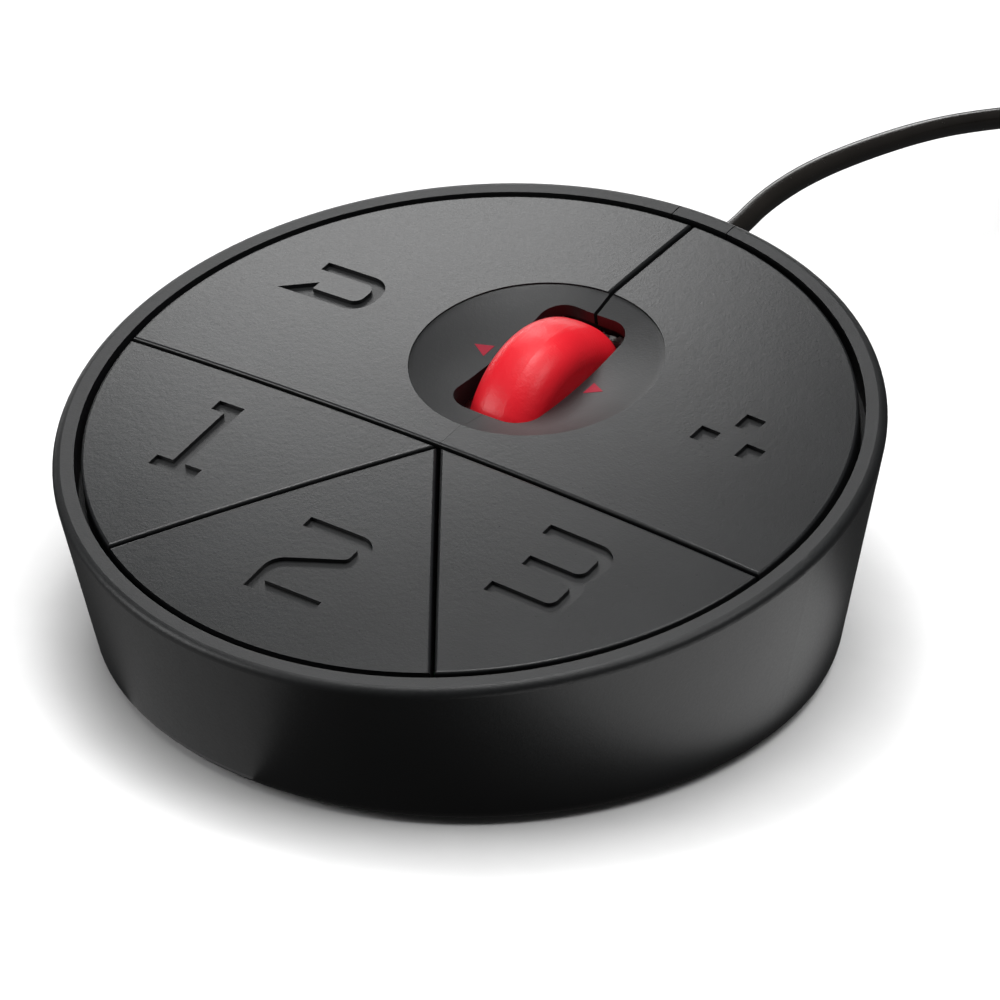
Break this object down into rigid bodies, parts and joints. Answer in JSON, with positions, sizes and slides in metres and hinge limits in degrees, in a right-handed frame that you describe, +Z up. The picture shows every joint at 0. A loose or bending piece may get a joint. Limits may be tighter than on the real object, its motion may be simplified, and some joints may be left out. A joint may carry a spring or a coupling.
{
  "type": "hand controller",
  "caption": "Corded desk-top control puck with a sloping round top, hinged keys, a red scroll wheel in a dish and a coiled lead.",
  "frame": {"origin": "on the surface under the middle of the round housing", "axes": "+Z up, +Y to the rear where the cord leaves, +X to the right as used"},
  "size_m": [0.1084, 0.2129, 0.0273],
  "materials": {
    "shell_plastic": "fine texture, charcoal",
    "key_plastic": "fine texture, charcoal",
    "inner_plastic": "moulded, black",
    "white_plastic": "moulded, off-white",
    "red_rubber": "soft touch, fine grain",
    "foot_rubber": "matt, fine texture",
    "gland_rubber": "satin",
    "steel": "brushed",
    "ballast_iron": "zinc plated",
    "board": "solder mask",
    "switch_case": "satin",
    "cord_jacket": "smooth jacket"
  },
  "bodies": {
    "housing": {"outer_shell": "shell_plastic", "rear_insert": "shell_plastic", "cord_gland": "gland_rubber", "base_plate": "inner_plastic", "foot_ring": "foot_rubber", "ballast": "ballast_iron", "base_screws": "steel", "chassis": "inner_plastic", "hinge_rod_upper": "steel", "hinge_rod_lower": "steel", "main_pcb": "board", "pcb_screws": "steel", "header": "white_plastic", "lead_wires": "gland_rubber", "switch_return": "switch_case", "switch_menu": "switch_case", "switch_1": "switch_case", "switch_2": "switch_case", "switch_3": "switch_case", "switch_wheel": "switch_case", "cord_tube": "cord_jacket", "cord_coil": "cord_jacket", "cord_tail": "cord_jacket", "coil_tie": "inner_plastic", "plug_body": "cord_jacket", "plug_shell": "steel"},
    "key_return": {"key_return": "key_plastic"},
    "key_menu": {"key_menu": "key_plastic"},
    "key_1": {"key_1": "key_plastic"},
    "key_2": {"key_2": "key_plastic"},
    "key_3": {"key_3": "key_plastic"},
    "plunger_return": {"plunger_return": "white_plastic"},
    "plunger_menu": {"plunger_menu": "white_plastic"},
    "plunger_1": {"plunger_1": "white_plastic"},
    "plunger_2": {"plunger_2": "white_plastic"},
    "plunger_3": {"plunger_3": "white_plastic"},
    "wheel_carrier": {"wheel_carrier": "white_plastic", "encoder": "switch_case"},
    "wheel": {"wheel_tyre": "red_rubber", "wheel_hub": "inner_plastic", "wheel_axle": "steel"},
    "plunger_wheel": {"plunger_wheel": "white_plastic"}
  },
  "joints": [
    {"name": "key_return_press", "type": "hinge", "parent": "housing", "child": "key_return", "pos_m": [0, -0.00225, 0.01593], "axis": [-1, 0, 0], "range_deg": [0, 1.4], "stiffness_Nm_per_rad": 0.06, "springref_deg": -5.73},
    {"name": "plunger_return_slide", "type": "slide", "parent": "housing", "child": "plunger_return", "axis": [0, 0.1374, -0.9905], "range_m": [0, 0.0004]},
    {"name": "key_menu_press", "type": "hinge", "parent": "housing", "child": "key_menu", "pos_m": [0, -0.00225, 0.01593], "axis": [-1, 0, 0], "range_deg": [0, 1.4], "stiffness_Nm_per_rad": 0.06, "springref_deg": -5.73},
    {"name": "plunger_menu_slide", "type": "slide", "parent": "housing", "child": "plunger_menu", "axis": [0, 0.1374, -0.9905], "range_m": [0, 0.0004]},
    {"name": "key_1_press", "type": "hinge", "parent": "housing", "child": "key_1", "pos_m": [0, -0.00656, 0.01534], "axis": [1, 0, 0], "range_deg": [0, 1.4], "stiffness_Nm_per_rad": 0.06, "springref_deg": -5.73},
    {"name": "plunger_1_slide", "type": "slide", "parent": "housing", "child": "plunger_1", "axis": [0, 0.1374, -0.9905], "range_m": [0, 0.0004]},
    {"name": "key_2_press", "type": "hinge", "parent": "housing", "child": "key_2", "pos_m": [0, -0.00656, 0.01534], "axis": [1, 0, 0], "range_deg": [0, 1.4], "stiffness_Nm_per_rad": 0.06, "springref_deg": -5.73},
    {"name": "plunger_2_slide", "type": "slide", "parent": "housing", "child": "plunger_2", "axis": [0, 0.1374, -0.9905], "range_m": [0, 0.0004]},
    {"name": "key_3_press", "type": "hinge", "parent": "housing", "child": "key_3", "pos_m": [0, -0.00656, 0.01534], "axis": [1, 0, 0], "range_deg": [0, 1.4], "stiffness_Nm_per_rad": 0.06, "springref_deg": -5.73},
    {"name": "plunger_3_slide", "type": "slide", "parent": "housing", "child": "plunger_3", "axis": [0, 0.1374, -0.9905], "range_m": [0, 0.0004]},
    {"name": "wheel_click", "type": "hinge", "parent": "housing", "child": "wheel_carrier", "pos_m": [0, -0.00225, 0.01593], "axis": [-1, 0, 0], "range_deg": [0, 0.8], "stiffness_Nm_per_rad": 0.06, "springref_deg": -5.73},
    {"name": "wheel_spin", "type": "hinge", "parent": "wheel_carrier", "child": "wheel", "pos_m": [0, 0.01243, 0.01671], "axis": [1, 0, 0], "continuous": true},
    {"name": "plunger_wheel_slide", "type": "slide", "parent": "housing", "child": "plunger_wheel", "axis": [0, 0.1374, -0.9905], "range_m": [0, 0.00045]}
  ],
  "couplings": [
    {"joint": "plunger_return_slide", "follows": "key_return_press", "m_per_rad": 0.015},
    {"joint": "plunger_menu_slide", "follows": "key_menu_press", "m_per_rad": 0.015},
    {"joint": "plunger_1_slide", "follows": "key_1_press", "m_per_rad": 0.015},
    {"joint": "plunger_2_slide", "follows": "key_2_press", "m_per_rad": 0.015},
    {"joint": "plunger_3_slide", "follows": "key_3_press", "m_per_rad": 0.015},
    {"joint": "plunger_wheel_slide", "follows": "wheel_click", "m_per_rad": 0.031}
  ]
}
